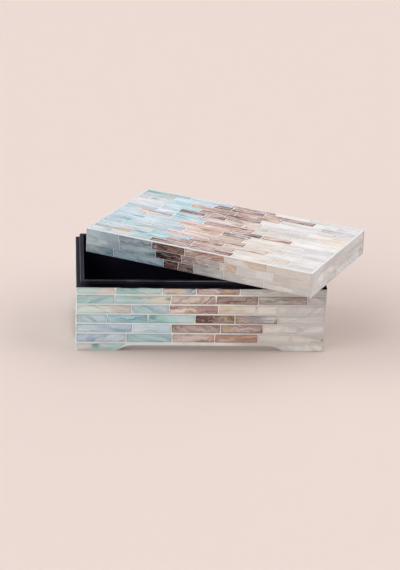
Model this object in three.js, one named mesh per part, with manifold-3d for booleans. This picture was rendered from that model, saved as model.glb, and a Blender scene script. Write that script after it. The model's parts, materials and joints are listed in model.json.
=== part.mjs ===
// A lidded keepsake box: a black-painted wooden case on bracket feet, faced with strips of cut shell
// laid in pale grout. The loose lid lies askew on the case's raised lip, so that one corner stands open.
// Millimetres, +Z up, the case's front facing -Y. The origin is under the middle of the whole object.
import * as THREE from "three";
import { mergeVertices } from "three/addons/utils/BufferGeometryUtils.js";
import Module from "manifold-3d";

const wasm = await Module();
wasm.setup();

// The case.
const caseWidth = 250;
const caseDepth = 140;
const tiledHeight = 68; // from the table to the top of the tiled sides
const rimHeight = 1; // bare wood above the tiles
const ledgeWidth = 4; // from the outer face to the lip
const lipWidth = 3.8;
const lipHeight = 5;
const floorThickness = 6;

// The bracket feet: length along the table, and how much the slanted cut adds above it.
const footHeight = 6;
const frontFootLength = 41;
const sideFootLength = 30;
const footFlare = 10;
const apronRound = 4; // rounding where the slanted cut meets the apron
const apronRoundSteps = 3;

// The lid, with a rebate inside that takes the case's lip.
const lidHeight = 26;
const lidTopThickness = 6;
const lidWallThickness = 7.8;
const rebateClearance = 0.4; // between the lip and the closed lid, on every side and above

// How the lid lies: turned and shifted from the closed place.
const lidTurnDegrees = -28.9;
const lidShiftX = 28.5;
const lidShiftY = 13.7;

// The mosaic: a grout bed with shell strips standing a little proud of it.
const bedThickness = 0.95;
const tileRelief = 0.25;
const edgeMargin = 0.6; // grout left bare along the edge of each panel
const gap = 0.2; // glue line behind a panel, and the clearance between pieces that meet
const shortestTile = 7; // a shorter end piece is laid as one with its neighbour
const caseTile = 8.6; // height of a strip
const caseJoint = 1.75; // grout between rows
const lidTopTile = 8.7;
const lidTopJoint = 1.3;
const lidSideTile = 8;
const lidSideJoint = 1.1;
const endJoint = 1.1; // grout between two strips of one row

// Cutting lists: the lengths of a row's strips with their joint, from the left, top or back row first.
const frontRows = [
  [38, 46, 34, 43, 45],
  [37, 56, 45, 42, 49],
  [53, 38, 49, 39, 21],
  [29, 41, 47, 40, 44],
  [55, 39, 49, 43, 35],
  [49, 46, 43, 43, 32],
];
const lidTopRows = [
  [52, 49, 49, 37, 27],
  [38, 47, 19, 37, 20, 37, 26],
  [14, 48, 52, 50, 46],
  [36, 40, 30, 40, 44, 36],
  [57, 31, 23, 40, 42, 31],
  [36, 50, 49, 31, 33],
  [20, 38, 38, 28, 27, 42],
  [36, 37, 60, 32, 33],
  [36, 43, 47, 31, 42, 26],
  [50, 38, 33, 32, 44],
  [23, 49, 48, 39, 44],
  [11, 49, 44, 37, 48, 40],
  [43, 38, 30, 45, 42, 20],
  [26, 42, 46, 45, 45],
];
const lidFrontRows = [
  [37, 38, 36, 44, 46],
  [38, 42, 29, 42, 18, 38],
  [31, 56, 16, 18, 33, 44],
];

// Shade, gloss and metalness of each finish.
const finishes = {
  lacquer: { color: 0x17171d, roughness: 0.4, metalness: 0 },
  mixedShell: { color: 0xc9bcb0, roughness: 0.3, metalness: 0 },
  aquaShell: { color: 0xaec8ca, roughness: 0.3, metalness: 0 },
  pearlShell: { color: 0xd8d0c8, roughness: 0.3, metalness: 0 },
};

const mosaicThickness = bedThickness + tileRelief;
const facing = mosaicThickness + gap; // from the outer face to the wood
const caseHeight = tiledHeight + rimHeight;
const lipTop = caseHeight + lipHeight;
const wallThickness = ledgeWidth + lipWidth;
const through = 1; // how far a cutter runs past what it cuts

// Turns a closed geometry into a solid for cutting and joining.
function solidOf(geometry) {
  const bare = geometry.clone();
  bare.deleteAttribute("normal");
  bare.deleteAttribute("uv");
  const merged = mergeVertices(bare, 1e-4);
  return new wasm.Manifold(
    new wasm.Mesh({
      numProp: 3,
      vertProperties: new Float32Array(merged.attributes.position.array),
      triVerts: new Uint32Array(merged.index.array),
    }),
  );
}

function meshOf(solid, name, finish) {
  const found = solid.getMesh();
  const geometry = new THREE.BufferGeometry();
  geometry.setAttribute("position", new THREE.BufferAttribute(found.vertProperties, 3));
  geometry.setIndex(new THREE.BufferAttribute(found.triVerts, 1));
  const flat = geometry.toNonIndexed();
  flat.computeVertexNormals();
  const mesh = new THREE.Mesh(flat, new THREE.MeshStandardMaterial(finishes[finish]));
  mesh.name = name;
  return mesh;
}

// A block centred on the Z axis, between two heights.
function block(width, depth, low, high) {
  const geometry = new THREE.BoxGeometry(width, depth, high - low);
  geometry.translate(0, 0, (low + high) / 2);
  return solidOf(geometry);
}

// A side seen from outside, x from its left end and y up, with the cut between its feet if it has any.
// An inset draws the outline that far inside its edge.
function sideShape(width, height, footLength, inset = 0) {
  const shape = new THREE.Shape();
  shape.moveTo(inset, inset);
  if (footLength > 0) {
    const foot = footLength - inset;
    const apron = footHeight + inset;
    const rise = Math.hypot(footFlare, footHeight);
    const back = apronRound / rise; // share of the slanted cut that the rounding takes
    const slantX = foot + footFlare * (1 - back);
    const slantY = inset + footHeight * (1 - back);
    shape.lineTo(foot, inset);
    shape.lineTo(slantX, slantY);
    shape.quadraticCurveTo(foot + footFlare, apron, foot + footFlare + apronRound, apron);
    shape.lineTo(width - foot - footFlare - apronRound, apron);
    shape.quadraticCurveTo(width - foot - footFlare, apron, width - slantX, slantY);
    shape.lineTo(width - foot, inset);
  }
  shape.lineTo(width - inset, inset);
  shape.lineTo(width - inset, height - inset);
  shape.lineTo(inset, height - inset);
  shape.closePath();
  return shape;
}

function prism(shape, low, high) {
  const geometry = new THREE.ExtrudeGeometry(shape, {
    depth: high - low,
    bevelEnabled: false,
    curveSegments: apronRoundSteps,
  });
  geometry.translate(0, 0, low);
  return solidOf(geometry);
}

// Where the strips of one row begin and end. A row longer than its list starts the list again.
function rowSpans(lengths, width) {
  const end = width - edgeMargin;
  const spans = [];
  let from = edgeMargin;
  for (let i = 0; from < end; i++) {
    let to = Math.min(from + lengths[i % lengths.length], end);
    if (end - to < shortestTile) to = end;
    spans.push([from, to < end ? to - endJoint : end]);
    from = to;
  }
  return spans;
}

// The heights of the rows, the top one first. Rows are laid from the bottom, and the top one is cut to fit.
function rowBands(bottom, top, tile, joint) {
  const bands = [];
  for (let low = bottom; top - low > tile / 2; low += tile + joint) {
    bands.unshift([low, Math.min(low + tile, top)]);
  }
  return bands;
}

// One face's mosaic, in the XY plane with its back at z = 0 and its strips towards +Z.
function mosaic({ width, height, lists, tile, joint, footLength = 0 }) {
  const bed = prism(sideShape(width, height, footLength), 0, bedThickness);
  const face = prism(sideShape(width, height, footLength, edgeMargin), 0, mosaicThickness);
  const footRow = footLength > 0 ? footHeight + joint : 0;
  const firstRow = footLength > 0 ? footRow + joint : edgeMargin;
  const strips = [];
  const lay = (x0, x1, y0, y1) => {
    const strip = new THREE.BoxGeometry(x1 - x0, y1 - y0, mosaicThickness);
    strip.translate((x0 + x1) / 2, (y0 + y1) / 2, mosaicThickness / 2);
    strips.push(solidOf(strip));
  };
  rowBands(firstRow, height - edgeMargin, tile, joint).forEach(([low, high], row) => {
    rowSpans(lists[row % lists.length], width).forEach(([from, to]) => lay(from, to, low, high));
  });
  if (footLength > 0) {
    const footTop = footLength + footFlare;
    lay(edgeMargin, footTop, edgeMargin, footRow);
    lay(width - footTop, width - edgeMargin, edgeMargin, footRow);
  }
  return bed.add(wasm.Manifold.union(strips).intersect(face));
}

// Stands a flat panel up on one side: 0 front, 1 right, 2 back, 3 left. Its outer face lies on the given distance.
function onSide(mesh, side, width, distance, base) {
  mesh.position.set(-width / 2, 0, 0);
  const upright = new THREE.Group();
  upright.rotation.x = Math.PI / 2;
  upright.position.set(0, mosaicThickness - distance, base);
  upright.add(mesh);
  const turned = new THREE.Group();
  turned.rotation.z = (side * Math.PI) / 2;
  turned.add(upright);
  return turned;
}

// Lays the four tiled sides of a case or lid: front and back full width, the ends between them.
function tiledSides(group, prefix, height, endLists, frontLists, options) {
  const endWidth = caseDepth - 2 * facing;
  const sides = [
    ["front", caseWidth, caseDepth / 2, frontLists, "mixedShell", frontFootLength],
    ["right", endWidth, caseWidth / 2, endLists, "pearlShell", sideFootLength],
    ["back", caseWidth, caseDepth / 2, [...frontLists].reverse(), "mixedShell", frontFootLength],
    ["left", endWidth, caseWidth / 2, [...endLists].reverse(), "aquaShell", sideFootLength],
  ];
  sides.forEach(([place, width, distance, lists, finish, footLength], side) => {
    const feet = options.feet ? footLength - (side % 2) * facing : 0;
    const panel = mosaic({ ...options, width, height, lists, footLength: feet });
    const mesh = meshOf(panel, `${prefix}_${place}_mosaic`, finish);
    group.add(onSide(mesh, side, width, distance, 0));
  });
}

// The wooden case: walls with a ledge and a raised lip, a floor, and feet cut out of the walls.
function caseWood() {
  const woodWidth = caseWidth - 2 * facing;
  const woodDepth = caseDepth - 2 * facing;
  const insideWidth = caseWidth - 2 * wallThickness;
  const insideDepth = caseDepth - 2 * wallThickness;
  const frontCut = prism(sideShape(caseWidth, lipTop + through, frontFootLength), -caseDepth, caseDepth);
  const sideCut = prism(sideShape(caseDepth, lipTop + through, sideFootLength), -caseWidth, caseWidth);
  return block(woodWidth, woodDepth, 0, tiledHeight)
    .add(block(caseWidth, caseDepth, tiledHeight, caseHeight))
    .add(block(caseWidth - 2 * ledgeWidth, caseDepth - 2 * ledgeWidth, tiledHeight, lipTop))
    .subtract(block(insideWidth, insideDepth, footHeight + floorThickness, lipTop + through))
    .subtract(block(insideWidth, insideDepth, -through, footHeight))
    .intersect(frontCut.translate([-caseWidth / 2, 0, 0]).rotate([90, 0, 0]))
    .intersect(sideCut.translate([-caseDepth / 2, 0, 0]).rotate([90, 0, 90]));
}

// The wooden lid: a hollow cap whose walls are rebated at the bottom to pass the lip.
function lidWood() {
  const top = lidHeight - facing;
  const rebateWall = ledgeWidth - rebateClearance;
  return block(caseWidth - 2 * facing, caseDepth - 2 * facing, 0, top)
    .subtract(
      block(caseWidth - 2 * lidWallThickness, caseDepth - 2 * lidWallThickness, -through, top - lidTopThickness),
    )
    .subtract(
      block(caseWidth - 2 * rebateWall, caseDepth - 2 * rebateWall, -through, lipHeight + rebateClearance),
    );
}

function makeCase() {
  const group = new THREE.Group();
  group.add(meshOf(caseWood(), "case_wood", "lacquer"));
  tiledSides(group, "case", tiledHeight - gap, lidTopRows, frontRows, {
    tile: caseTile,
    joint: caseJoint,
    feet: true,
  });
  return group;
}

function makeLid() {
  const group = new THREE.Group();
  group.add(meshOf(lidWood(), "lid_wood", "lacquer"));
  const sideOptions = { tile: lidSideTile, joint: lidSideJoint, feet: false };
  tiledSides(group, "lid", lidHeight, frontRows, lidFrontRows, sideOptions);
  const width = caseWidth - 2 * facing;
  const height = caseDepth - 2 * facing;
  const top = mosaic({ width, height, lists: lidTopRows, tile: lidTopTile, joint: lidTopJoint });
  const topMesh = meshOf(top, "lid_top_mosaic", "mixedShell");
  topMesh.position.set(-width / 2, -height / 2, lidHeight - mosaicThickness);
  group.add(topMesh);
  group.rotation.z = THREE.MathUtils.degToRad(lidTurnDegrees);
  group.position.set(lidShiftX, lidShiftY, lipTop + gap);
  return group;
}

const shellBox = new THREE.Group();
shellBox.name = "shell_box";
shellBox.add(makeCase(), makeLid());

// Puts the origin under the middle of the case and lid together.
const bounds = new THREE.Box3().setFromObject(shellBox, true);
const middle = bounds.getCenter(new THREE.Vector3());
shellBox.position.set(-middle.x, -middle.y, 0);

export default shellBox;
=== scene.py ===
import json
import math
import random

import bmesh
import bpy
from mathutils import Matrix, Vector

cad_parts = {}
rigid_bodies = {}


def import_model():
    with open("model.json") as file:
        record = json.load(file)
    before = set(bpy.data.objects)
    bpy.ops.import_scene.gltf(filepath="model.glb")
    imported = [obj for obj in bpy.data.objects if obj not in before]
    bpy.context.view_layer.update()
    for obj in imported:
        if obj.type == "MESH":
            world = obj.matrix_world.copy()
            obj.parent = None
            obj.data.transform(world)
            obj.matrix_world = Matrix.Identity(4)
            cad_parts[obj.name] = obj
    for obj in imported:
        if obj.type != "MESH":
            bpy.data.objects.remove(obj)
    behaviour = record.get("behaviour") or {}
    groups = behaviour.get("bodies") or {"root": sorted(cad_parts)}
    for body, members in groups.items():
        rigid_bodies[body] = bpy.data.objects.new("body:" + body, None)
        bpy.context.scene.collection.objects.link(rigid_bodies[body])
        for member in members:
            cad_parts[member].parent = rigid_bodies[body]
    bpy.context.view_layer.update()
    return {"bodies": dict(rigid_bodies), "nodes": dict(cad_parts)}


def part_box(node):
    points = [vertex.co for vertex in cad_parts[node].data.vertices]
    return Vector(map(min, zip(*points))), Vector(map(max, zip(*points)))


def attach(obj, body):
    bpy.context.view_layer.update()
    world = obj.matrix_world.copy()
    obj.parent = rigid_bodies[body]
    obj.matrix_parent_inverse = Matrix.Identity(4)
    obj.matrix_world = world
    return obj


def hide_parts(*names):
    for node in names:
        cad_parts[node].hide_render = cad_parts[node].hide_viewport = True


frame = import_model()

mm = 0.001
body = list(frame["bodies"])[0]


def newObject(name, data):
    made = bpy.data.objects.new(name, data)
    bpy.context.scene.collection.objects.link(made)
    return made


# Places that come from the frame

def middleOf(node):
    low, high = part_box(node)
    return (low + high) / 2


caseLow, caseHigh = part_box("case_wood")
frontLow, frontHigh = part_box("case_front_mosaic")
topLow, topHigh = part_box("lid_top_mosaic")
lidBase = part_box("lid_front_mosaic")[0].z / mm
caseWidth = (caseHigh.x - caseLow.x) / mm
caseDepth = (caseHigh.y - caseLow.y) / mm
tiledHeight = (frontHigh.z - frontLow.z) / mm
lidHeight = topHigh.z / mm - lidBase
thickness = (topHigh.z - topLow.z) / mm  # of one facing, grout bed and strips
lidTurn = math.radians(-28.9)  # clockwise seen from above
caseHome = Matrix.Translation((middleOf("case_wood").x / mm, middleOf("case_wood").y / mm, 0))
lidHome = Matrix.Translation((middleOf("lid_wood").x / mm, middleOf("lid_wood").y / mm, lidBase))
lidHome = lidHome @ Matrix.Rotation(lidTurn, 4, "Z")


# Materials

# Short ways to add nodes to a tree: any node, a sum, a product, a sum of vectors, a vector's parts,
# a soft step, a mix of two colours and a noise.
def make(tree, kind, inputs=None, **settings):
    made = tree.nodes.new(kind)
    for key, value in settings.items():
        setattr(made, key, value)
    for key, value in (inputs or {}).items():
        if isinstance(value, bpy.types.NodeSocket):
            tree.links.new(value, made.inputs[key])
        else:
            made.inputs[key].default_value = value
    return made


def reckon(tree, kind, *values):
    return make(tree, "ShaderNodeMath", dict(enumerate(values)), operation=kind).outputs[0]


def times(tree, first, second):
    return reckon(tree, "MULTIPLY", first, second)


def vectors(tree, kind, *values):
    return make(tree, "ShaderNodeVectorMath", dict(enumerate(values)), operation=kind).outputs[0]


def split(tree, vector):
    return make(tree, "ShaderNodeSeparateXYZ", {0: vector}).outputs


def step(tree, value, low, high):
    inputs = {"Value": value, "From Min": low, "From Max": high}
    return make(tree, "ShaderNodeMapRange", inputs, interpolation_type="SMOOTHSTEP").outputs["Result"]


def blend(tree, factor, first, second, kind="MIX"):
    inputs = {0: factor, 6: first, 7: second}
    return make(tree, "ShaderNodeMix", inputs, data_type="RGBA", blend_type=kind).outputs[2]


def noise(tree, vector, scale, detail=2.0, roughness=0.5, output="Fac"):
    inputs = {"Vector": vector, "Scale": scale, "Detail": detail, "Roughness": roughness}
    return make(tree, "ShaderNodeTexNoise", inputs).outputs[output]


# A value that strays by up to this reach either way with a noise.
def strayed(tree, value, cloud, reach):
    return reckon(tree, "MULTIPLY_ADD", cloud, reach * 2, reckon(tree, "SUBTRACT", value, reach))


def relief(tree, height, look):
    inputs = {"Strength": look["bump"], "Distance": look["bumpHeight"] * mm, "Height": height}
    return make(tree, "ShaderNodeBump", inputs).outputs[0]


def newMaterial(name):
    material = bpy.data.materials.new(name)
    material.use_nodes = True
    material.node_tree.nodes.clear()
    return material, material.node_tree


def finish(tree, inputs):
    shader = make(tree, "ShaderNodeBsdfPrincipled", inputs)
    make(tree, "ShaderNodeOutputMaterial", {"Surface": shader.outputs[0]})


# Black paint from the rim runs a little over the top of the tiled sides.
paintRun = {
    "edge": 0.2,  # mm, how far down it reaches on the whole
    "wave": 1.0,  # mm, how much that changes
    "waveLength": 24.0,  # mm
    "blur": 0.08,  # mm
    "shade": (0.012, 0.012, 0.016, 1),
}


# Gives 1 where that paint lies and 0 below it.
def paintMask(tree, top):
    where = make(tree, "ShaderNodeTexCoord").outputs["Object"]
    wave = noise(tree, where, 1 / (paintRun["waveLength"] * mm), 3.0)
    reach = strayed(tree, paintRun["edge"] * mm, wave, paintRun["wave"] * mm)
    down = reckon(tree, "SUBTRACT", top, split(tree, where)[2])
    blur = paintRun["blur"] * mm
    return step(tree, reckon(tree, "SUBTRACT", reach, down), -blur, blur)


shellLook = {
    "roughness": 0.12,  # where the fine lines are smoothest
    "roughSpread": 0.16,
    "paintedRoughness": 0.2,  # added under the rim's paint
    "coatRoughness": 0.06,
    "bump": 0.15,
    "bumpHeight": 0.2,  # mm
    "rimWidth": 0.95,  # mm, the dark line along a strip's cut edge
    "rimRagged": 0.45,  # mm
    "tintWidth": 3.4,  # mm, how far in the edge is tinted with the vein's shade
    "tint": 0.16,
}
# The growth lines, and how the main shade turns over along a strip. A range is of a noise, from where
# a thing begins to show to where it is in full.
growth = {
    "apart": 900.0,  # mm, how far apart in the shell the strips may be cut
    "band": (34.0, 3.8),  # mm, length and width of the broad bands
    "line": (24.0, 1.8),  # of the fine lines
    "thread": (19.0, 1.25),  # of the dark threads
    "finest": 2.3,  # how much closer the finest lines lie than the fine ones
    "warp": 3.0,  # mm, how far they wander
    "warpScale": 0.1,  # waves in a mm
    "calm": 0.6,  # strength of the veins up to which they wander no further
    "cloudScale": 0.09,  # clouds in a mm
    "cloudStray": 1.2,  # of half a strip, how far the turn of shade strays with the clouds
    "bandStray": 0.8,  # and with the bands
    "turnRange": (-0.35, 0.35),  # of half a strip
    "bandRange": (0.45, 0.66),
    "bandStrength": 0.62,
    "lineRange": (0.5, 0.68),
    "lineStrength": 0.5,
    "threadRange": (0.54, 0.68),
    "threadStrength": 0.55,
    "threadShade": (0.6, 0.56, 0.56, 1),
    "paleRange": (0.52, 0.66),
    "paleStrength": 0.34,
    "paleLeast": 0.02,
    "paleShade": (0.93, 0.91, 0.88, 1),
    "washRange": (0.46, 0.3),
    "washShade": (0.95, 0.93, 0.9, 1),
}
# Spots of another colour on some strips, and small dark flecks here and there.
marks = {
    "spotShape": (0.6, 1.0, 0.0),  # longer than high
    "spotRagged": 2.5,  # mm, how far its edge strays
    "spotRange": (1.15, 0.25),  # of its size, where it begins to show and is in full
    "spotStrength": 0.7,
    "fleckSpacing": 9.0,  # mm
    "fleckRare": (0.955, 0.96),  # share of the places without one
    "fleckSize": (0.15, 0.07),  # of the spacing
    "fleckStrength": 0.75,
    "fleckShade": (0.06, 0.07, 0.06, 1),
}
# The sheen's colours, each with its place on the ramp.
lustreShades = [
    (0.3, (0.84, 1.0, 0.96, 1)), (0.45, (1.0, 0.94, 0.93, 1)),
    (0.57, (1.0, 0.98, 0.9, 1)), (0.7, (0.93, 0.95, 1.0, 1)),
]
lustre = {"scale": 0.16, "strength": 0.6}


# Every strip is cut from another spot of shell, and its growth lines lean another way. Gives that spot,
# and the same once the lines lean and wander.
def cutFromShell(tree, place, seed, streak, look):
    depth = times(tree, seed, growth["apart"])
    cut = make(tree, "ShaderNodeCombineXYZ", {0: place[0], 1: place[1], 2: depth}).outputs[0]
    turned = {"Vector": cut, "Angle": place[2]}
    leaning = make(tree, "ShaderNodeVectorRotate", turned, rotation_type="Z_AXIS").outputs[0]
    wander = noise(tree, cut, growth["warpScale"], 2.0, 0.5, "Color")
    shift = vectors(tree, "SUBTRACT", wander, (0.5, 0.5, 0.5))
    wild = reckon(tree, "MAXIMUM", reckon(tree, "SUBTRACT", streak, growth["calm"]), 0.0)
    reach = reckon(tree, "MULTIPLY_ADD", wild, look["swirl"] * 2, growth["warp"] * 2)
    reaching = make(tree, "ShaderNodeCombineXYZ", {0: reach, 1: reach}).outputs[0]
    return cut, vectors(tree, "MULTIPLY_ADD", shift, reaching, leaning)


# The noises that the bands, threads, fine lines and finest lines are read from.
def growthNoises(tree, warped):
    def stretched(size):
        return vectors(tree, "MULTIPLY", warped, (1 / size[0], 1 / size[1], 1))

    bands = noise(tree, stretched(growth["band"]), 1.0, 2.0, 0.5)
    threads = noise(tree, stretched(growth["thread"]), 1.0, 2.0, 0.55)
    lines = noise(tree, stretched(growth["line"]), 1.0, 3.0, 0.6)
    fine = noise(tree, stretched(growth["line"]), growth["finest"], 2.0, 0.6)
    return bands, threads, lines, fine


# How much of a strip's spot shows, from its middle and size and the place on the strip.
def spotMask(tree, place, spot, lines):
    size = split(tree, spot)[2]
    flat = vectors(tree, "MULTIPLY", vectors(tree, "SUBTRACT", place, spot), marks["spotShape"])
    far = make(tree, "ShaderNodeVectorMath", {0: flat}, operation="LENGTH").outputs["Value"]
    ragged = strayed(tree, far, lines, marks["spotRagged"])
    share = step(tree, reckon(tree, "DIVIDE", ragged, size), *marks["spotRange"])
    hasSpot = reckon(tree, "GREATER_THAN", size, 0.1)
    return times(tree, times(tree, share, hasSpot), marks["spotStrength"])


def fleckMask(tree, warped):
    inputs = {"Vector": warped, "Scale": 1 / marks["fleckSpacing"], "Randomness": 1.0}
    cells = make(tree, "ShaderNodeTexVoronoi", inputs)
    chosen = split(tree, cells.outputs["Color"])[0]
    rare = step(tree, chosen, *marks["fleckRare"])
    near = step(tree, cells.outputs["Distance"], *marks["fleckSize"])
    return times(tree, times(tree, rare, near), marks["fleckStrength"])


def sheen(tree, warped):
    made = make(tree, "ShaderNodeValToRGB", {0: noise(tree, warped, lustre["scale"], 1.0, 0.5)})
    ramp = made.color_ramp
    first, last = lustreShades[0], lustreShades[-1]
    ramp.elements[0].position, ramp.elements[0].color = first
    ramp.elements[1].position, ramp.elements[1].color = last
    for at, shade in lustreShades[1:-1]:
        ramp.elements.new(at).color = shade
    return made.outputs[0]


def shellMaterial(name, look, paintTop=None):
    material, tree = newMaterial(name)

    def trait(key, output="Color"):
        return make(tree, "ShaderNodeAttribute", attribute_name=key).outputs[output]

    placeOn = trait("place", "Vector")
    place, half = split(tree, placeOn), split(tree, trait("half", "Vector"))
    seed, streak, rim = split(tree, trait("traits", "Vector"))
    cut, warped = cutFromShell(tree, place, seed, streak, look)
    bands, threads, lines, fine = growthNoises(tree, warped)

    # The main shade turns over from the strip's left kind to its right one.
    cloud = noise(tree, cut, growth["cloudScale"], 2.0, 0.5)
    along = reckon(tree, "DIVIDE", place[0], half[0])
    along = strayed(tree, along, cloud, growth["cloudStray"])
    along = strayed(tree, along, bands, growth["bandStray"])
    colour = blend(tree, step(tree, along, *growth["turnRange"]), trait("shadeA"), trait("shadeB"))
    spotted = spotMask(tree, placeOn, trait("spot", "Vector"), lines)
    colour = blend(tree, spotted, colour, trait("spotShade"))

    # Veins in bands and lines, dark threads, pale lines, and a pale wash between the bands.
    vein = trait("vein")
    banded = times(tree, step(tree, bands, *growth["bandRange"]), growth["bandStrength"])
    lined = step(tree, lines, *growth["lineRange"])
    veined = reckon(tree, "MULTIPLY_ADD", lined, growth["lineStrength"], banded)
    streak = times(tree, streak, look["strength"])
    colour = blend(tree, times(tree, veined, streak), colour, vein)
    dark = blend(tree, 1.0, vein, growth["threadShade"], "MULTIPLY")
    threaded = times(tree, step(tree, threads, *growth["threadRange"]), streak)
    colour = blend(tree, times(tree, threaded, growth["threadStrength"]), colour, dark)
    pale = reckon(tree, "MULTIPLY_ADD", streak, growth["paleStrength"], growth["paleLeast"])
    paled = times(tree, step(tree, fine, *growth["paleRange"]), pale)
    colour = blend(tree, paled, colour, growth["paleShade"])
    washed = times(tree, step(tree, bands, *growth["washRange"]), look["wash"])
    colour = blend(tree, washed, colour, growth["washShade"])
    colour = blend(tree, fleckMask(tree, warped), colour, marks["fleckShade"])
    colour = blend(tree, lustre["strength"], colour, sheen(tree, warped), "MULTIPLY")

    # The cut edge is darker.
    ends, sides = (
        reckon(tree, "SUBTRACT", half[axis], reckon(tree, "ABSOLUTE", place[axis])) for axis in (0, 1)
    )
    inward = strayed(tree, reckon(tree, "MINIMUM", ends, sides), fine, shellLook["rimRagged"])
    edge = step(tree, inward, shellLook["rimWidth"], 0.0)
    tinted = times(tree, step(tree, inward, shellLook["tintWidth"], 0.0), shellLook["tint"])
    colour = blend(tree, tinted, colour, vein)
    colour = blend(tree, times(tree, edge, rim), colour, vein, "MULTIPLY")
    rough = reckon(tree, "MULTIPLY_ADD", lines, shellLook["roughSpread"], shellLook["roughness"])
    if paintTop is not None:
        painted = paintMask(tree, paintTop)
        colour = blend(tree, painted, colour, paintRun["shade"])
        rough = reckon(tree, "MULTIPLY_ADD", painted, shellLook["paintedRoughness"], rough)
    finish(tree, {
        "Base Color": colour, "Roughness": rough, "Normal": relief(tree, lines, shellLook),
        "Coat Weight": look["coat"], "Coat Roughness": shellLook["coatRoughness"],
        "Specular IOR Level": look["specular"],
    })
    return material


grout = {
    "grain": 0.5,  # mm
    "cloud": 14.0,  # mm
    "stray": 20.0,  # mm, how far the turns of shade stray
    "firstTurn": (-50.0, -15.0),  # mm from the middle, where the left shade turns into the middle one
    "secondTurn": (20.0, 60.0),
    "cloudRange": (0.45, 0.75),
    "cloudShade": (0.6, 0.55, 0.48, 1),
    "cloudStrength": 0.35,
    "grainRange": (0.52, 0.75),
    "grainShade": (0.5, 0.46, 0.4, 1),
    "grainStrength": 0.22,
    "paintedHighlight": (1.0, 0.4),  # mm below the top, where the painted highlight on the edge begins and is in full
    "paintedHighlightShade": (0.97, 0.97, 0.96, 1),
    "paintedHighlightStrength": 0.7,
    "roughness": 0.3,  # at the least, and added by the grain
    "bump": 0.35,
    "bumpHeight": 0.15,  # mm
}


# Grout whose shade changes from the left end to the right one, with the shell beside it. A painted
# highlight makes its top edge paler, where light catches it.
def groutMaterial(name, shades, home, paintTop=None, paintedHighlightTop=None):
    material, tree = newMaterial(name)
    where = make(tree, "ShaderNodeTexCoord").outputs["Object"]
    grain = noise(tree, where, 1 / (grout["grain"] * mm), 3.0, 0.6)
    cloud = noise(tree, where, 1 / (grout["cloud"] * mm), 3.0, 0.55)
    turn = (0.0, 0.0, home.to_euler().z)
    inputs = {"Vector": where, "Location": home.translation * mm, "Rotation": turn}
    spread = split(tree, make(tree, "ShaderNodeMapping", inputs, vector_type="TEXTURE").outputs[0])
    stray = grout["stray"] * mm
    along = strayed(tree, spread[0], cloud, stray)
    first, second = ([place * mm for place in grout[key]] for key in ("firstTurn", "secondTurn"))
    colour = blend(tree, step(tree, along, *first), (*shades[0], 1), (*shades[1], 1))
    colour = blend(tree, step(tree, along, *second), colour, (*shades[2], 1))
    for value, key in ((cloud, "cloud"), (grain, "grain")):
        shown = times(tree, step(tree, value, *grout[key + "Range"]), grout[key + "Strength"])
        colour = blend(tree, shown, colour, grout[key + "Shade"])
    # The top edge is painted paler, a painted highlight.
    if paintedHighlightTop is not None:
        begins, full = ((paintedHighlightTop - depth) * mm for depth in grout["paintedHighlight"])
        highlighted = times(tree, step(tree, spread[2], begins, full), grout["paintedHighlightStrength"])
        colour = blend(tree, highlighted, colour, grout["paintedHighlightShade"])
    if paintTop is not None:
        colour = blend(tree, paintMask(tree, paintTop), colour, paintRun["shade"])
    rough = reckon(tree, "MULTIPLY_ADD", grain, grout["roughness"], grout["roughness"])
    finish(tree, {"Base Color": colour, "Roughness": rough, "Normal": relief(tree, grain, grout)})
    return material


paint = {
    "brush": (60.0, 60.0, 420.0),  # marks in a metre, close together up and down
    "strokeRange": (0.5, 0.75),
    "strokeStrength": 0.5,
    "cloud": 22.0,  # mm
    "cloudRange": (0.35, 0.75),
    "roughSpread": 0.25,
    "bump": 0.25,
    "bumpHeight": 0.12,  # mm
    "paintedSheen": (14.0, 6.0),  # mm from the left end, where the painted sheen begins and is in full
}


# Black paint on the wood, with brush marks and worn clouds. The rim's has a painted sheen: it is paler
# along the left end, where light glances along it.
def blackPaint(name, colour, worn, roughness, specular, paintedSheenEnd=None):
    material, tree = newMaterial(name)
    where = make(tree, "ShaderNodeTexCoord").outputs["Object"]
    brush = make(tree, "ShaderNodeMapping", {"Vector": where, "Scale": paint["brush"]})
    strokes = noise(tree, brush.outputs[0], 1.0, 4.0, 0.6)
    cloud = noise(tree, where, 1 / (paint["cloud"] * mm), 3.0, 0.5)
    shade = blend(tree, step(tree, cloud, *paint["cloudRange"]), colour, worn)
    brushed = times(tree, step(tree, strokes, *paint["strokeRange"]), paint["strokeStrength"])
    shade = blend(tree, brushed, shade, worn)
    # A painted sheen: paler towards the left end.
    if paintedSheenEnd is not None:
        begins, full = (caseLow.x + distance * mm for distance in paint["paintedSheen"])
        shade = blend(tree, step(tree, split(tree, where)[0], begins, full), shade, paintedSheenEnd)
    rough = reckon(tree, "MULTIPLY_ADD", strokes, paint["roughSpread"], roughness)
    finish(tree, {
        "Base Color": shade, "Roughness": rough, "Normal": relief(tree, strokes, paint),
        "Specular IOR Level": specular,
    })
    return material


# Strength of the veins; how much further, in mm, the lines wander in the strongly veined kinds; the pale
# wash between the bands; the clear coat; and the shine.
caseLook = {"strength": 1.0, "swirl": 16.0, "wash": 0.3, "coat": 0.3, "specular": 0.5}
lidLook = {"strength": 1.3, "swirl": 8.0, "wash": 0.12, "coat": 0.22, "specular": 0.5}
topLook = {"strength": 1.3, "swirl": 7.0, "wash": 0.3, "coat": 0.1, "specular": 0.3}
caseShell = shellMaterial("caseShell", caseLook, frontHigh.z)
lidShell = shellMaterial("lidShell", lidLook)
lidTopShell = shellMaterial("lidTopShell", topLook)
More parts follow.
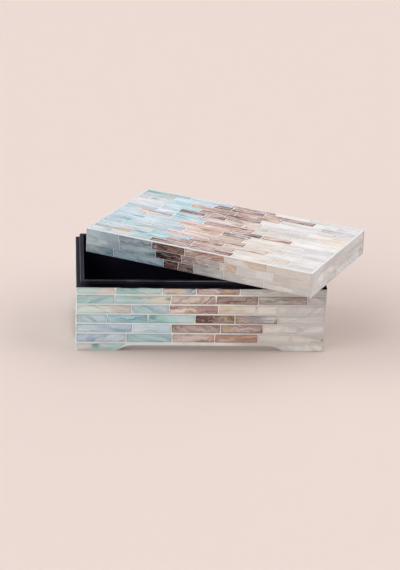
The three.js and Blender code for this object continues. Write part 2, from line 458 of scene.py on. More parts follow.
# The grout's shades at the left end, in the middle and at the right end.
caseShades = [(0.85, 0.90, 0.88), (0.98, 0.94, 0.87), (0.68, 0.64, 0.60)]
lidShades = [(0.50, 0.54, 0.56), (0.60, 0.54, 0.50), (0.68, 0.63, 0.59)]
topShades = [(0.85, 0.87, 0.88), (0.88, 0.85, 0.83), (0.84, 0.82, 0.80)]
caseGrout = groutMaterial("caseGrout", caseShades, caseHome, paintTop=frontHigh.z)
# The lid's sides carry a painted highlight along their top edge.
lidGrout = groutMaterial("lidGrout", lidShades, lidHome, paintedHighlightTop=lidHeight)
lidTopGrout = groutMaterial("lidTopGrout", topShades, lidHome)
# The rim's paint has a painted sheen along its left end.
rimPaint = blackPaint(
    "rimPaint", (0.0022, 0.0022, 0.004, 1), (0.009, 0.009, 0.015, 1), 0.18, 0.1,
    paintedSheenEnd=(0.025, 0.0225, 0.034, 1),
)
# Paler paint on the rounded edges near the top: partly wear, partly a painted highlight.
edgeWearAndHighlight = blackPaint("edgeWearAndHighlight", (0.05, 0.05, 0.06, 1), (0.17, 0.168, 0.185, 1), 0.18, 0.4)
insidePaint = blackPaint("insidePaint", (0.030, 0.025, 0.046, 1), (0.038, 0.033, 0.056, 1), 0.58, 0.25)
print("materials made")


# The kinds of shell that the strips are cut from: main shade, vein shade, and how strongly the veins and
# the dark cut edges show. Shades are red, green and blue from 0 to 255.
shellKinds = {
    "sky": ((190, 211, 214), (106, 158, 174), 0.6, 0.6),
    "deepSky": ((164, 202, 209), (82, 138, 158), 0.65, 0.75),
    "aqua": ((184, 210, 207), (104, 164, 168), 0.6, 0.6),
    "teal": ((170, 206, 202), (84, 148, 150), 0.65, 0.65),
    "mint": ((200, 217, 207), (136, 180, 170), 0.6, 0.45),
    "ice": ((208, 217, 221), (156, 187, 199), 0.5, 0.4),
    "lilac": ((190, 206, 217), (112, 146, 180), 0.6, 0.6),
    "slate": ((171, 187, 197), (100, 125, 138), 0.75, 0.4),
    "sage": ((195, 193, 183), (138, 133, 123), 0.7, 0.4),
    "pearl": ((222, 217, 216), (192, 188, 191), 0.4, 0.2),
    "white": ((226, 221, 217), (200, 194, 190), 0.38, 0.18),
    "grey": ((206, 200, 196), (168, 162, 157), 0.42, 0.25),
    "cream": ((223, 215, 208), (196, 182, 169), 0.4, 0.2),
    "butter": ((222, 209, 194), (198, 176, 147), 0.5, 0.25),
    "sand": ((214, 194, 176), (160, 128, 108), 0.65, 0.45),
    "peach": ((224, 203, 190), (168, 122, 104), 0.6, 0.5),
    "blush": ((224, 204, 196), (148, 108, 99), 0.85, 0.65),
    "rose": ((205, 172, 157), (124, 80, 70), 0.75, 0.7),
    "mauve": ((166, 138, 132), (86, 56, 55), 0.85, 0.8),
    "taupe": ((172, 150, 139), (80, 60, 52), 0.85, 0.85),
    "copper": ((206, 164, 144), (120, 68, 52), 0.6, 0.85),
    "bronze": ((156, 112, 90), (76, 38, 27), 0.85, 0.85),
    "umber": ((109, 65, 57), (34, 18, 17), 0.9, 0.85),
    "bark": ((56, 25, 24), (15, 7, 7), 0.9, 0.9),
    "dusk": ((180, 154, 149), (62, 42, 40), 0.95, 0.75),
    "clay": ((197, 171, 165), (90, 56, 54), 0.9, 0.75),
    "haze": ((197, 205, 209), (138, 172, 186), 0.5, 0.4),
    "amber": ((186, 150, 122), (108, 70, 46), 0.8, 0.75),
    "olive": ((206, 202, 185), (148, 140, 112), 0.6, 0.4),
}
# Spots of another colour that some strips have: shade and size in mm.
spotKinds = {
    "green": ((76, 150, 122), 2.6),
    "amber": ((206, 170, 120), 5.0),
    "orange": ((212, 152, 118), 3.6),
    "teal": ((58, 128, 134), 3.2),
    "gold": ((222, 204, 162), 4.2),
    "blue": ((126, 138, 160), 5.0),
    "ink": ((40, 38, 38), 1.2),
}
blueKinds = [
    "sky", "aqua", "teal", "mint", "ice", "lilac", "deepSky", "aqua/sand", "ice/sky", "lilac/ice",
]
brownKinds = [
    "rose", "mauve", "taupe", "copper", "umber", "peach", "blush/mauve", "umber/amber", "rose/peach",
]
paleKinds = ["pearl", "white", "cream", "grey", "white/pearl", "cream/sand", "butter", "grey/white"]

# Laying plans, the top or back row first. Each strip gives its length with its joint, in mm, and its
# kind, or the kinds at its left and right ends. After a plus sign comes its spot and how far along it
# lies, in percent. The last strip takes what is left of the row.
caseFrontPlan = [
    "39 aqua/cream  46 aqua/mint  34 blush/slate+gold45  43.5 blush/taupe+amber70  44.5 sage/grey  "
    "43 grey",
    "38 aqua  56 aqua/butter+green97  45 blush/peach  42 mauve/taupe  49.5 sage/taupe  20 grey",
    "54.5 mint/sage  38 sky/ice  49 blush/mauve+gold40  38.5 butter/cream+gold22  20.5 cream  49 grey",
    "30.5 sky  41 deepSky  47 teal/aqua+teal8  40 umber/taupe+amber92  43 taupe/grey+blue48  48 grey",
    "56 lilac  39 ice/lilac  49.5 dusk/taupe  42.5 taupe/mauve+amber5  35 cream/grey  28 grey",
    "50 lilac/ice  46 aqua/sky  43 blush/peach+orange94  43.5 copper/copper  33 cream  "
    "35 cream/grey+ink95",
]
caseFootPlan = ["cream/aqua+teal38", "grey/cream"]
lidFrontPlan = [
    "37 ice/slate  37.5 slate/ice+ink35  36.5 umber/bronze  44 sand/rose  46.5 white/sand  48 cream",
    "38.5 ice/slate  40.5 slate/sky+teal96  29 bark/umber  42.5 mauve/grey  18.5 cream/sand  "
    "38.5 grey/white  42 grey/cream",
    "31.5 slate/slate+teal85  56.5 slate/slate  16.5 umber  17 taupe  33.5 grey/white  43.5 grey/white  "
    "51 cream/grey",
]
lidTopPlan = [
    "52 deepSky/sky  48 haze/ice  51 clay/peach  37 cream/white  26 white  35 pearl",
    "38 haze/olive  46.5 ice/haze  20 clay/taupe  37 rose/clay  20 rose  37 clay  24 white  26 pearl",
    "13 haze  49 haze/deepSky+teal12  51.5 peach/clay  51 rose/peach+amber66  45 cream/white  "
    "38 grey/pearl",
    "34.5 pearl  42 ice/aqua  30 rose/peach  40 clay/dusk  63 white/pearl  38 pearl+ink50",
    "35.5 pearl/ice  22 ice  29.5 clay/dusk  24.5 clay/dusk  40 blush/peach  52 white/pearl  "
    "44 cream/butter",
    "36 ice/haze  22 ice/sky  28 sky  48.5 blush/peach  29 peach/cream+ink15  36 cream  48 grey/butter",
    "19.5 haze  39 peach/haze  37 sky/ice  56 dusk/rose+ink82  42 cream  54 white",
    "33 ice  39 ice/haze  60 peach/rose  33 clay/dusk  32.5 sand/rose  50 white",
    "36 haze/ice  43 ice/haze  46 peach/rose+amber60  31.5 clay/blush  59 cream  31 pearl",
    "50 slate/haze  37.5 haze/haze  66 peach/sand  44.5 cream+gold60  50 pearl",
    "22 haze  51 aqua/haze+gold60  47.5 peach/blush  39.5 rose/clay  43.5 cream/butter+ink86  45 white",
    "10.5 haze  48.5 ice/pearl  44.5 sky/haze  37 clay/rose  48 sand/peach  34.5 pearl  25 white",
    "42 ice/olive+gold70  39 sky  30 dusk/clay  45.5 rose/peach  42 cream  19.5 butter  31 cream/white",
    "24.5 ice/haze  43.5 pearl/aqua  45 dusk/clay  46.5 clay/rose  43.5 cream/butter  45 white/pearl",
]
lidRightPlan = [
    "52 white/grey  48 grey/white  38 pearl",
    "30 grey/white  62 cream/grey  46 grey",
    "64 white/grey  62 white/pearl  12 grey",
]

# How the strips are laid, in mm.
laying = {
    "strip": 8.6,  # height of a strip
    "topStrip": 8.85,
    "lidStrip": 8.2,
    "endJoint": 1.1,  # grout between two strips of a row
    "corner": 0.35,  # rounding of a strip's corners
    "endRound": 1.8,  # most rounding of a softer corner
    "softCorners": 0.14,  # share of the corners that are softer
    "wobble": 0.22,  # how far a corner strays
    "slant": 0.55,  # how far an end leans
    "bed": 1.02,  # grout surface, from the back of the facing
    "uneven": 0.07,  # how much strips differ in height
    "bevel": 0.16,
    "edge": 0.9,  # grout left along a facing's edge
    "bedBevel": 0.35,
    "shadeSpread": 0.05,  # how much two strips of one kind differ
    "rowWander": 0.22,  # how far a strip lies above or below its place
    "footStrip": (0.5, 7.7),  # bottom and top of the strip on a foot
    "gapBehind": 0.2,  # glue line behind a facing
    "weld": 0.01,  # points closer than this count as one
}

# The bracket feet, in mm: the inner end slants up by the flare and meets the apron in a round bend.
foot = {"height": 6.0, "flare": 10.0, "frontLength": 41.0, "sideLength": 30.0, "round": 4.0, "steps": 3}


# A shade from 0 to 255 as the plain light that a material takes, with full opacity.
def linear(shade, gain=1.0, tint=(1.0, 1.0, 1.0)):
    def channel(value):
        part = min(value / 255, 1)
        return part / 12.92 if part <= 0.04045 else ((part + 0.055) / 1.055) ** 2.4

    return [channel(value * gain * part) for value, part in zip(shade, tint)] + [1.0]


hidden = {
    "lengths": (28, 58),  # mm, the shortest and the longest strip
    "before": 22,  # mm, how far before the side a row may begin
    "least": 9,  # mm, the least that shows of a strip
    "blur": 0.25,  # how far the zones run into one another
    "spotted": 0.14,  # share of the strips that have a spot
    "along": (5, 95),  # percent, where on the strip the spot may lie
}


# A plan for a side that the picture hides: zones of shell kinds from left to right, with random lengths.
def hiddenPlan(rows, width, zones, draw):
    plan = []
    for _ in range(rows):
        at, words = draw.uniform(-hidden["before"], 0), []
        while at < width - hidden["least"]:
            length = draw.uniform(*hidden["lengths"])
            zone = (at + length / 2) / width * len(zones) + draw.uniform(-hidden["blur"], hidden["blur"])
            kinds = zones[max(0, min(int(zone), len(zones) - 1))]
            shown = length + min(at, 0)
            if shown > hidden["least"]:
                spot = ""
                if draw.random() < hidden["spotted"]:
                    spot = f"+{draw.choice(list(spotKinds))}{draw.randint(*hidden['along'])}"
                words.append(f"{shown:.1f} {draw.choice(kinds)}{spot}")
            at += length
        plan.append("  ".join(words))
    return plan


# A strip's outline, from its lower left corner round, with rounded corners and slightly leaning ends.
def stripOutline(x0, x1, y0, y1, draw):
    wobble, lean = laying["wobble"], laying["slant"]
    ends = []
    for end in (x0, x1):
        tilt = draw.uniform(-lean, lean)
        ends.append((end + tilt * 0.5, end - tilt * 0.5))
    corners = [
        (ends[0][0], y0, 1, 1), (ends[1][0], y0, -1, 1),
        (ends[1][1], y1, -1, -1), (ends[0][1], y1, 1, -1),
    ]
    points = []
    for index, (x, y, right, up) in enumerate(corners):
        x += draw.uniform(-wobble, wobble)
        y += draw.uniform(-wobble, wobble) * 0.5
        softer = draw.random() < laying["softCorners"]
        radius = laying["endRound"] * draw.uniform(0.5, 1) if softer else laying["corner"]
        radius = min(radius, (y1 - y0) * 0.45, (x1 - x0) * 0.3)
        start = math.pi * (1 + index / 2)
        for stepIndex in range(3):
            angle = start + stepIndex * math.pi / 4
            points.append((
                x + right * radius + radius * math.cos(angle),
                y + up * radius + radius * math.sin(angle),
            ))
    return points


# Cuts an outline to a side's foot, whose inner end slants up to the apron.
def cutToFoot(points, width, length):
    cut = []
    for x, y in points:
        reach = length + foot["flare"] * max(0, min(y / foot["height"], 1)) - laying["edge"]
        if x < width / 2:
            cut.append((min(x, reach), y))
        else:
            cut.append((max(x, width - reach), y))
    return cut


# The strips of one row of a plan: where each begins and ends, and its kind.
def readPlan(line, width):
    words = line.split()
    strips = [(float(length), kind) for length, kind in zip(words[::2], words[1::2])]
    at, end = laying["edge"], width - laying["edge"]
    spans = []
    for index, (length, kind) in enumerate(strips):
        last = index == len(strips) - 1
        to = end if last else min(at + length, end)
        spans.append((at, to if last else to - laying["endJoint"], kind))
        at = to
    return spans


# The flat outlines of a facing's strips, in mm, each with its kind.
def stripsOf(panel, draw):
    strips = []
    width, top = panel["width"], panel["height"] - laying["edge"] * panel.get("topEdge", 1)
    rows = len(panel["plan"])
    for row, line in enumerate(panel["plan"]):
        start = panel["first"] + (rows - 1 - row) * panel["pitch"]
        for x0, x1, kind in readPlan(line, width):
            low = start + draw.uniform(-0.5, 0.5) * laying["rowWander"]
            high = min(start + panel["strip"] + draw.uniform(-0.5, 0.5) * laying["rowWander"], top)
            strips.append((stripOutline(x0, x1, low, high, draw), x0, x1, low, high, kind))
    if "foot" in panel:
        length = panel["foot"]
        reach = length + foot["flare"]
        low, high = laying["footStrip"]
        spans = [(laying["edge"], reach), (width - reach, width - laying["edge"])]
        for (x0, x1), kind in zip(spans, panel["footKinds"]):
            outline = stripOutline(x0, x1, low, high, draw)
            strips.append((cutToFoot(outline, width, length), x0, x1, low, high, kind))
    return strips


# Geometry nodes that raise flat strips by a facing's thickness, less a random part, and close their backs.
def layStripsTree():
    tree = bpy.data.node_groups.new("layStrips", "GeometryNodeTree")
    sockets = {}
    for name, kind in (("Strips", "Geometry"), ("Thickness", "Float"), ("Unevenness", "Float"),
                       ("Seed", "Int"), ("Shell", "Material")):
        made = tree.interface.new_socket(name, in_out="INPUT", socket_type="NodeSocket" + kind)
        sockets[name] = made.identifier
    tree.interface.new_socket("Strips", in_out="OUTPUT", socket_type="NodeSocketGeometry")
    given = tree.nodes.new("NodeGroupInput").outputs
    chance = {3: given["Unevenness"], "Seed": given["Seed"]}
    lower = make(tree, "FunctionNodeRandomValue", chance, data_type="FLOAT").outputs[1]
    height = reckon(tree, "SUBTRACT", given["Thickness"], lower)
    rising = {"Mesh": given["Strips"], "Offset Scale": height, "Individual": True}
    raised = make(tree, "GeometryNodeExtrudeMesh", rising).outputs["Mesh"]
    backs = make(tree, "GeometryNodeFlipFaces", {"Mesh": given["Strips"]}).outputs["Mesh"]
    joined = make(tree, "GeometryNodeJoinGeometry", {0: raised})
    tree.links.new(backs, joined.inputs[0])
    welding = {"Geometry": joined.outputs[0], "Distance": laying["weld"] * mm}
    merged = make(tree, "GeometryNodeMergeByDistance", welding).outputs[0]
    real = make(tree, "GeometryNodeRealizeInstances", {0: merged}).outputs[0]
    shell = make(tree, "GeometryNodeSetMaterial", {"Geometry": real, "Material": given["Shell"]})
    make(tree, "NodeGroupOutput", {0: shell.outputs[0]})
    return tree, sockets


stripTree, stripSockets = layStripsTree()


# A strip's spot: place from the strip's middle and size in one vector, and its shade.
def readSpot(mark, halfLength, halfHeight, draw):
    if not mark:
        return (0, 0, 0), [0, 0, 0, 1]
    name = mark.rstrip("0123456789")
    shade, size = spotKinds[name]
    share = int(mark[len(name):]) / 50 - 1
    return (share * halfLength, draw.uniform(-0.5, 0.5) * halfHeight, size), linear(shade)


# One flat face per strip, with what its shell looks like kept on its corners.
def stripSheet(panel, strips, draw):
    mesh = bpy.data.meshes.new(panel["name"] + "Flat")
    tint, mostLean = panel["tint"], panel["lean"]
    points, faces = [], []
    keys = ("place", "half", "traits", "spot", "shadeA", "shadeB", "vein", "spotShade")
    values = {key: [] for key in keys}
    for outline, x0, x1, low, high, kind in strips:
        kind, _, mark = kind.partition("+")
        first, second = (kind.split("/") * 2)[:2]
        gain = 1 + draw.uniform(-1, 1) * laying["shadeSpread"]
        shadeA, veinA, streak, rim = shellKinds[first]
        shadeB, veinB, _, rimB = shellKinds[second]
        vein = veinA if draw.random() < 0.5 else veinB
        seed, lean = draw.random(), draw.uniform(-1, 1) ** 3 * mostLean
        spot, spotShade = readSpot(mark, (x1 - x0) / 2, (high - low) / 2, draw)
        faces.append(range(len(points), len(points) + len(outline)))
        for x, y in outline:
            points.append((x * mm, y * mm, 0))
            values["place"].append((x - (x0 + x1) / 2, y - (low + high) / 2, lean))
            values["half"].append(((x1 - x0) / 2, (high - low) / 2, 0))
            values["traits"].append((seed, streak, (rim + rimB) / 2))
            values["spot"].append(spot)
            values["spotShade"].append(spotShade)
            values["shadeA"].append(linear(shadeA, gain, tint))
            values["shadeB"].append(linear(shadeB, gain, tint))
            values["vein"].append(linear(vein, gain))
    mesh.from_pydata(points, [], [list(face) for face in faces])
    for key, rows in values.items():
        kind, field = ("FLOAT_VECTOR", "vector") if len(rows[0]) == 3 else ("FLOAT_COLOR", "color")
        layer = mesh.attributes.new(key, kind, "POINT")
        layer.data.foreach_set(field, [part for row in rows for part in row])
    return mesh


# The outline of a facing, with the feet's bends where it has feet of this length.
def bedOutline(width, height, length):
    if not length:
        return [(0, 0), (width, 0), (width, height), (0, height)]
    half = [(0, 0), (length, 0)]
    rise = math.hypot(foot["flare"], foot["height"])
    back = foot["round"] / rise
    start = Vector((length + foot["flare"] * (1 - back), foot["height"] * (1 - back)))
    bend = Vector((length + foot["flare"], foot["height"]))
    stop = Vector((length + foot["flare"] + foot["round"], foot["height"]))
    for index in range(foot["steps"] + 1):
        t = index / foot["steps"]
        half.append(tuple(start * (1 - t) ** 2 + bend * 2 * t * (1 - t) + stop * t * t))
    return half + [(width - x, y) for x, y in reversed(half)] + [(width, height), (0, height)]


# The grout bed: the facing's outline with a soft outer edge.
def addBed(mesh, panel):
    shape = bmesh.new()
    shape.from_mesh(mesh)
    grow = panel.get("grow", 0)
    outline = bedOutline(panel["width"] + 2 * grow, panel["height"] + 2 * grow, panel.get("foot", 0))
    back = [shape.verts.new(((x - grow) * mm, (y - grow) * mm, 0)) for x, y in outline]
    front = [shape.verts.new(((x - grow) * mm, (y - grow) * mm, laying["bed"] * mm)) for x, y in outline]
    made = [shape.faces.new(reversed(back)), shape.faces.new(front)]
    count = len(outline)
    for index in range(count):
        after = (index + 1) % count
        made.append(shape.faces.new((back[index], back[after], front[after], front[index])))
    for face in made:
        face.material_index = 1
    outer = set(front)
    rims = [edge for edge in made[1].edges if all(vert in outer for vert in edge.verts)]
    bmesh.ops.bevel(
        shape, geom=rims, offset=laying["bedBevel"] * mm, segments=3, profile=0.5, affect="EDGES",
        material=1,
    )
    bedFaces = [face for face in shape.faces if face.material_index == 1]
    bmesh.ops.recalc_face_normals(shape, faces=bedFaces)
    shape.to_mesh(mesh)
    shape.free()


# Lays one facing from its panel: strips on a grout bed, in one mesh that replaces the frame's solid.
def makeFacing(panel, seed):
    draw = random.Random(seed)
    if "plan" not in panel:
        panel["plan"] = hiddenPlan(panel["rows"], panel["width"], panel["zones"], draw)
    flat = stripSheet(panel, stripsOf(panel, draw), draw)
    worker = newObject(panel["name"] + "Worker", flat)
    lay = worker.modifiers.new("lay", "NODES")
    lay.node_group = stripTree
    lay[stripSockets["Thickness"]] = thickness * mm
    lay[stripSockets["Unevenness"]] = laying["uneven"] * mm
    lay[stripSockets["Seed"]] = seed
    lay[stripSockets["Shell"]] = panel["shell"]
    soft = worker.modifiers.new("soften", "BEVEL")
    soft.width = laying["bevel"] * mm
    soft.segments = 2
    soft.angle_limit = math.radians(60)
    graph = bpy.context.evaluated_depsgraph_get()
    shown = worker.evaluated_get(graph)
    mesh = bpy.data.meshes.new_from_object(shown, preserve_all_data_layers=True, depsgraph=graph)
    bpy.data.objects.remove(worker)
    bpy.data.meshes.remove(flat)
    mesh.materials.clear()
    mesh.materials.append(panel["shell"])
    mesh.materials.append(panel["grout"])
    for face in mesh.polygons:
        face.material_index = 0
    addBed(mesh, panel)
    mesh.transform(panel["frame"])
    mesh.name = panel["name"]
    piece = newObject(panel["name"], mesh)
    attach(piece, body)
    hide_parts(panel["node"])


# Puts a facing's own frame, x from its left end and y up, on one side of the case or lid.
def sideFrame(home, side, width, distance):
    upright = Matrix((
        (1 / mm, 0, 0, -width / 2),
        (0, 0, -1 / mm, thickness - distance),
        (0, 1 / mm, 0, 0),
        (0, 0, 0, 1),
    ))
    return Matrix.Scale(mm, 4) @ home @ Matrix.Rotation(side * math.pi / 2, 4, "Z") @ upright


# The four upright facings of the case or lid. The front and back cover the ends of the other two.
def makeSides(prefix, home, height, common, plans):
    covered = thickness + laying["gapBehind"]
    endWidth = caseDepth - 2 * covered
    endFoot = foot["sideLength"] - covered
    places = [
        ("front", caseWidth, caseDepth / 2, [blueKinds, brownKinds, paleKinds], foot["frontLength"]),
        ("right", endWidth, caseWidth / 2, [paleKinds], endFoot),
        ("back", caseWidth, caseDepth / 2, [paleKinds, brownKinds, blueKinds], foot["frontLength"]),
        ("left", endWidth, caseWidth / 2, [blueKinds], endFoot),
    ]
    slots = {"right": "pearl_shell", "left": "aqua_shell"}
    for side, (place, width, distance, zones, footLength) in enumerate(places):
        panel = dict(common)
        panel.update({
            "name": f"{prefix}_{place}_shell",
            "node": f"{prefix}_{place}_mosaic",
            "slot": slots.get(place, f"{prefix}_shell"),
            "width": width,
            "height": height,
            "frame": sideFrame(home, side, width, distance),
            "zones": zones,
            "tint": common["tints"].get(place, common["tints"]["rest"]),
        })
        if place in plans:
            panel["plan"] = plans[place]
        if common["feet"]:
            panel["foot"] = footLength
            panel["footKinds"] = caseFootPlan if place == "front" else [zones[0][0], zones[-1][1]]
        makeFacing(panel, common["seed"] + side)


# What the case's facings share, in mm. The pitch is from row to row, the top edge is in parts of the
# grout along the others, and the lean is the most that growth lines slope, in radians.
caseCommon = {
    "strip": laying["strip"],
    "pitch": 10.35,
    "first": 9.6,
    "rows": 6,
    "feet": True,
    "topEdge": 0.3,
    "shell": caseShell,
    "grout": caseGrout,
    "lean": 0.85,
    # The case's shells are painted lighter and cooler: partly their own tone, partly a painted light
    # beside the lid's front.
    "tints": {"rest": (1.062, 1.078, 1.085)},
    "seed": 11,
}
makeSides("case", caseHome, tiledHeight, caseCommon, {"front": caseFrontPlan})
lidCommon = {
    "strip": laying["lidStrip"],
    "pitch": 8.7,
    "first": 0.3,
    "rows": 3,
    "feet": False,
    "topEdge": 1.3,
    "shell": lidShell,
    "grout": lidGrout,
    "lean": 0.7,
    # The lid's front is painted darker, a painted shade; its other sides are only a little cooler.
    "tints": {"front": (0.913, 0.92, 0.92), "rest": (1.0, 1.03, 1.055)},
    "seed": 21,
}
makeSides("lid", lidHome, lidHeight, lidCommon, {"front": lidFrontPlan, "right": lidRightPlan})

topWidth = caseWidth - 2 * (thickness + laying["gapBehind"])
topDepth = caseDepth - 2 * (thickness + laying["gapBehind"])
topCorner = Matrix.Translation((-topWidth / 2, -topDepth / 2, lidHeight - thickness))
topPanel = {
    "name": "lid_top_shell",
    "node": "lid_top_mosaic",
    "slot": "lid_shell",
    "width": topWidth,
    "height": topDepth,
    "grow": laying["gapBehind"],  # grout out to the sides' facings
    "strip": laying["topStrip"],
    "pitch": 10.0,
    "first": 0.7,
    "topEdge": 0.7,
    "plan": lidTopPlan,
    "shell": lidTopShell,
    "grout": lidTopGrout,
    "lean": 0.3,
    # The top's shell is painted lighter, a painted light and painted sheen.
    "tint": (1.08, 1.075, 1.08),
    "frame": Matrix.Scale(mm, 4) @ lidHome @ topCorner @ Matrix.Scale(1 / mm, 4),
}
makeFacing(topPanel, 31)
print("facings made")


# The woodwork: the frame's own solid with rounded edges, painted duller inside.
wood = {
    "bevel": 0.45,  # mm, rounding of the edges
    "segments": 3,
    "sharpBelow": 8.0,  # mm above the table, where the feet and the recess keep sharp edges
    "corner": 1.8,  # mm, rounding of the upright corners of the rim and lip
    "cornerSegments": 4,
    "worn": 3.0,  # mm below the lip's top, how far down the rounded edges are paler, partly worn paint and partly a painted highlight
    "sharp": 50.0,  # degrees, the least turn of an edge that is rounded
    "weld": (0.005, 0.01),  # mm, points closer than this count as one, before and after
    # Where the inside ends, in mm from the outside, and from the bottom and top of the case and lid.
    "inwards": 7.0,
    "caseInside": (7.0, 0.3),
    "lidInside": (1.0, 4.0),
}


def sharpEdges(shape):
    turn = math.radians(wood["sharp"])
    return [edge for edge in shape.edges if len(edge.link_faces) == 2 and edge.calc_face_angle() > turn]


# An upright edge of the rim or lip that points outwards.
def isCorner(edge):
    low, high = sorted(vert.co.z for vert in edge.verts)
    across = (edge.verts[0].co.xy - edge.verts[1].co.xy).length
    return across < wood["weld"][1] * mm and low > frontHigh.z and high > low and edge.is_convex


# Joins faces that lie in one plane and cuts them up afresh, so that rounding edges leaves rings open.
def cutAfresh(shape):
    bmesh.ops.dissolve_limit(shape, angle_limit=math.radians(1), verts=shape.verts, edges=shape.edges)
    bmesh.ops.triangulate(shape, faces=[face for face in shape.faces if len(face.verts) > 4])


def makeWood(node, name, isInside):
    shape = bmesh.new()
    shape.from_mesh(frame["nodes"][node].data)
    bmesh.ops.remove_doubles(shape, verts=shape.verts, dist=wood["weld"][0] * mm)
    cutAfresh(shape)
    corners = [edge for edge in sharpEdges(shape) if isCorner(edge)]
    bmesh.ops.bevel(
        shape, geom=corners, offset=wood["corner"] * mm, segments=wood["cornerSegments"], profile=0.5,
        affect="EDGES",
    )
    cutAfresh(shape)
    sharp = [
        edge for edge in sharpEdges(shape)
        if min(vert.co.z for vert in edge.verts) > wood["sharpBelow"] * mm
    ]
    # Rounded edges take the paler edge paint: wear and a painted highlight.
    bmesh.ops.bevel(
        shape, geom=sharp, offset=wood["bevel"] * mm, segments=wood["segments"], profile=0.5,
        affect="EDGES", material=2,
    )
    bmesh.ops.remove_doubles(shape, verts=shape.verts, dist=wood["weld"][1] * mm)
    for face in shape.faces:
        if all(isInside(vert.co / mm) for vert in face.verts):
            face.material_index = 1
        elif face.calc_center_median().z < caseHigh.z - wood["worn"] * mm:
            face.material_index = 0
    mesh = bpy.data.meshes.new(name)
    shape.to_mesh(mesh)
    shape.free()
    for paintKind in (rimPaint, insidePaint, edgeWearAndHighlight):
        mesh.materials.append(paintKind)
    piece = newObject(name, mesh)
    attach(piece, body)
    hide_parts(node)


def isWithin(local, low, high):
    across = abs(local.x) < caseWidth / 2 - wood["inwards"]
    return across and abs(local.y) < caseDepth / 2 - wood["inwards"] and low < local.z < high


def insideCase(point):
    above, below = wood["caseInside"]
    return isWithin(caseHome.inverted() @ point, above, caseHigh.z / mm - below)


def insideLid(point):
    above, below = wood["lidInside"]
    return isWithin(lidHome.inverted() @ point, above, lidHeight - below)


makeWood("case_wood", "case_body", insideCase)
makeWood("lid_wood", "lid_body", insideLid)
print("woodwork made")


# Floor, light and camera

floorPaper = {
    "size": 9.0,  # metres
    "colour": (0.74, 0.615, 0.553, 1),
    "glow": 0.36,  # painted light: the floor glows under the case, standing in for light that gets in between the feet
    "glowSideways": (7.0, 38.0),  # mm in from the case's ends, where it begins and is in full
    "glowAlong": (-2.0, 12.0),  # mm in from the front and back
}


def makeFloor():
    half = floorPaper["size"] / 2
    mesh = bpy.data.meshes.new("floor")
    corners = [(-half, -half, 0), (half, -half, 0), (half, half, 0), (-half, half, 0)]
    mesh.from_pydata(corners, [], [(0, 1, 2, 3)])
    material, tree = newMaterial("floorPaper")
    where = make(tree, "ShaderNodeTexCoord").outputs["Object"]
    away = vectors(tree, "SUBTRACT", where, caseHome.translation * mm)
    away = split(tree, vectors(tree, "ABSOLUTE", away))
    glow = floorPaper["glow"]
    for far, size, key in ((away[0], caseWidth, "glowSideways"), (away[1], caseDepth, "glowAlong")):
        begins, full = ((size / 2 - inwards) * mm for inwards in floorPaper[key])
        glow = times(tree, step(tree, far, begins, full), glow)
    # The floor glows under the case, a painted light.
    finish(tree, {
        "Base Color": floorPaper["colour"], "Roughness": 0.95, "Specular IOR Level": 0.0,
        "Emission Color": floorPaper["colour"], "Emission Strength": glow,
    })
    mesh.materials.append(material)
    floor = newObject("floor", mesh)


light = {
    "horizon": 0.29,  # the dome's strength low down
    "overhead": 0.0,
    "fall": (0.1, 0.8),  # heights on a dome of radius 1 between which it changes
    "domeColour": (0.94, 1.0, 1.09, 1),
    # Soft suns: turn from +X and height above the floor in degrees, strength.
    "suns": [
        (-130.0, 30.0, 0.63), (-150.0, 30.0, 0.96), (180.0, 30.0, 0.57), (150.0, 30.0, 0.75),
        (165.0, 58.0, 0.38), (90.0, 58.0, 0.32), (15.0, 58.0, 0.33),
        (60.0, 30.0, 0.62), (30.0, 30.0, 0.34), (0.0, 30.0, 1.20),
    ],
    "sunSpread": 50.0,  # degrees
    "sunColour": (0.99, 1.0, 1.03),
}


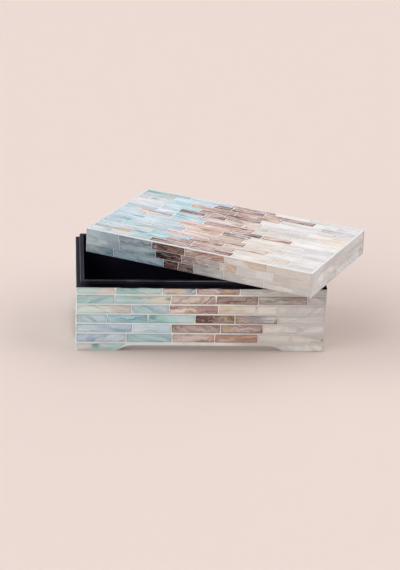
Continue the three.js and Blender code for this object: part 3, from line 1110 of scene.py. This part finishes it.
def makeDome():
    world = bpy.data.worlds.new("dome")
    bpy.context.scene.world = world
    world.use_nodes = True
    tree = world.node_tree
    towards = make(tree, "ShaderNodeTexCoord").outputs["Generated"]
    low, high = light["fall"]
    strength = make(tree, "ShaderNodeMapRange", {
        "Value": split(tree, towards)["Z"], "From Min": low, "From Max": high,
        "To Min": light["horizon"], "To Max": light["overhead"],
    })
    sky = tree.nodes["Background"]
    sky.inputs["Color"].default_value = light["domeColour"]
    tree.links.new(strength.outputs["Result"], sky.inputs["Strength"])


def makeSun(turn, height, strength):
    sun = bpy.data.lights.new("softSun", "SUN")
    sun.energy = strength
    sun.angle = math.radians(light["sunSpread"])
    sun.color = light["sunColour"]
    lamp = newObject("softSun", sun)
    lamp.visible_glossy = False
    around, above = math.radians(turn), math.radians(height)
    level = math.cos(above)
    towards = Vector((math.cos(around) * level, math.sin(around) * level, math.sin(above)))
    lamp.rotation_euler = towards.to_track_quat("Z", "Y").to_euler()


view = {
    "lens": 130.4,
    "sensor": 36.0,
    "pitch": 22.0,  # degrees down
    "roll": 2.1,
    "yaw": 4.24,
    "distance": 2128.0,  # mm, from the middle of the case
    "middle": 34.0,  # mm above the table, the height of that middle
    "right": 2.7,  # mm, where the middle of the picture falls beside the middle of the case
    "up": 8.8,
    "farthest": 50,  # metres
}


def makeCamera():
    pitch, roll, yaw = (math.radians(view[key]) for key in ("pitch", "roll", "yaw"))
    forward = Vector((0, math.cos(pitch), -math.sin(pitch)))
    up = Vector((0, math.sin(pitch), math.cos(pitch)))
    right = Vector((1, 0, 0))
    stand = right * view["right"] + up * view["up"] - forward * view["distance"]
    axes = Matrix((
        right * math.cos(roll) + up * math.sin(roll),
        up * math.cos(roll) - right * math.sin(roll),
        -forward,
    )).transposed().to_4x4()
    middle = caseHome.translation + Vector((0, 0, view["middle"]))
    turned = Matrix.Rotation(-yaw, 4, "Z")
    camera = newObject("camera", bpy.data.cameras.new("camera"))
    camera.data.sensor_width = view["sensor"]
    camera.data.lens = view["lens"]
    camera.data.clip_end = view["farthest"]
    camera.matrix_world = Matrix.Translation((middle + turned @ stand) * mm) @ turned @ axes
    bpy.context.scene.camera = camera


makeFloor()
makeDome()
for sunPlace in light["suns"]:
    makeSun(*sunPlace)
makeCamera()
bpy.context.scene.view_settings.view_transform = "Standard"
print("floor, light and camera made")
